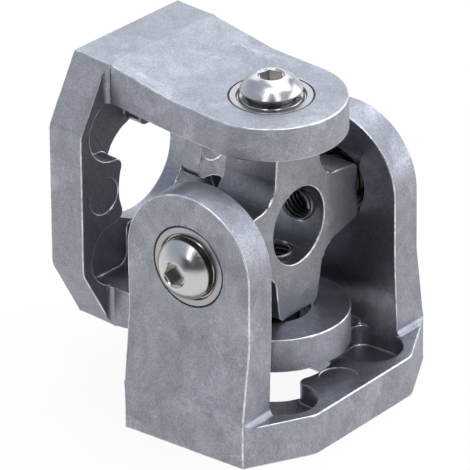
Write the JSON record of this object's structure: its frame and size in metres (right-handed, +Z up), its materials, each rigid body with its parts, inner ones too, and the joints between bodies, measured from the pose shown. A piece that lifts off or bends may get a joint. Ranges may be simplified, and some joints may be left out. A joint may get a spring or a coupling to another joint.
{
  "type": "steering universal joint",
  "caption": "Steering universal joint: two forked yokes at right angles on a cross block, each eye with a ball bearing and a button-head screw, each base with a round opening.",
  "frame": {"origin": "centre of the lower yoke's round opening, on its flat mounting face", "axes": "+Z up, along the lower yoke's opening towards the joint centre; +Y along the lower yoke's pins; the upper yoke's base lies towards -X"},
  "size_m": [0.071, 0.07, 0.079],
  "materials": {
    "lower_casting": "satin die-cast metal, as cast, with bright flash lines",
    "upper_casting": "satin die-cast metal, as cast, with bright flash lines",
    "cross_casting": "satin die-cast metal",
    "screw": "polished bright steel",
    "washer": "bright turned steel",
    "bearing_steel": "ground and polished bearing steel",
    "balls": "polished bearing steel",
    "cage": "plain steel",
    "shield": "bright pressed sheet steel",
    "spacer": "turned steel"
  },
  "bodies": {
    "lower_yoke": {"lower_yoke": "lower_casting", "outer_ring_front": "bearing_steel", "outer_ring_back": "bearing_steel", "outer_shield_front": "shield", "outer_shield_back": "shield", "inner_shield_front": "shield", "inner_shield_back": "shield"},
    "cross": {"cross_block": "cross_casting", "screw_front": "screw", "screw_back": "screw", "screw_top": "screw", "screw_bottom": "screw", "head_washer_front": "washer", "head_washer_back": "washer", "head_washer_top": "washer", "head_washer_bottom": "washer", "inner_ring_front": "bearing_steel", "inner_ring_back": "bearing_steel", "inner_ring_top": "bearing_steel", "inner_ring_bottom": "bearing_steel", "spacer_front": "spacer", "spacer_back": "spacer", "spacer_top": "spacer", "spacer_bottom": "spacer"},
    "upper_yoke": {"upper_yoke": "upper_casting", "outer_ring_top": "bearing_steel", "outer_ring_bottom": "bearing_steel", "outer_shield_top": "shield", "outer_shield_bottom": "shield", "inner_shield_top": "shield", "inner_shield_bottom": "shield"},
    "balls_front": {"balls_front": "balls", "cage_front": "cage"},
    "balls_back": {"balls_back": "balls", "cage_back": "cage"},
    "balls_top": {"balls_top": "balls", "cage_top": "cage"},
    "balls_bottom": {"balls_bottom": "balls", "cage_bottom": "cage"}
  },
  "joints": [
    {"name": "cross_tilt", "type": "hinge", "parent": "lower_yoke", "child": "cross", "pos_m": [0, 0, 0.044], "axis": [0, 1, 0], "range_deg": [-2, 182]},
    {"name": "upper_yoke_swing", "type": "hinge", "parent": "cross", "child": "upper_yoke", "pos_m": [0, 0, 0.044], "axis": [0, 0, 1], "range_deg": [-10, 20]},
    {"name": "front_balls_roll", "type": "hinge", "parent": "lower_yoke", "child": "balls_front", "pos_m": [0, -0.027, 0.044], "axis": [0, 1, 0], "range_deg": [-1, 70]},
    {"name": "back_balls_roll", "type": "hinge", "parent": "lower_yoke", "child": "balls_back", "pos_m": [0, 0.027, 0.044], "axis": [0, 1, 0], "range_deg": [-1, 70]},
    {"name": "top_balls_roll", "type": "hinge", "parent": "cross", "child": "balls_top", "pos_m": [0, 0, 0.071], "axis": [0, 0, 1], "range_deg": [-7, 13]},
    {"name": "bottom_balls_roll", "type": "hinge", "parent": "cross", "child": "balls_bottom", "pos_m": [0, 0, 0.017], "axis": [0, 0, 1], "range_deg": [-7, 13]}
  ],
  "couplings": [
    {"joint": "front_balls_roll", "follows": "cross_tilt", "ratio": 0.3824},
    {"joint": "back_balls_roll", "follows": "cross_tilt", "ratio": 0.3824},
    {"joint": "top_balls_roll", "follows": "upper_yoke_swing", "ratio": 0.6176},
    {"joint": "bottom_balls_roll", "follows": "upper_yoke_swing", "ratio": 0.6176}
  ]
}
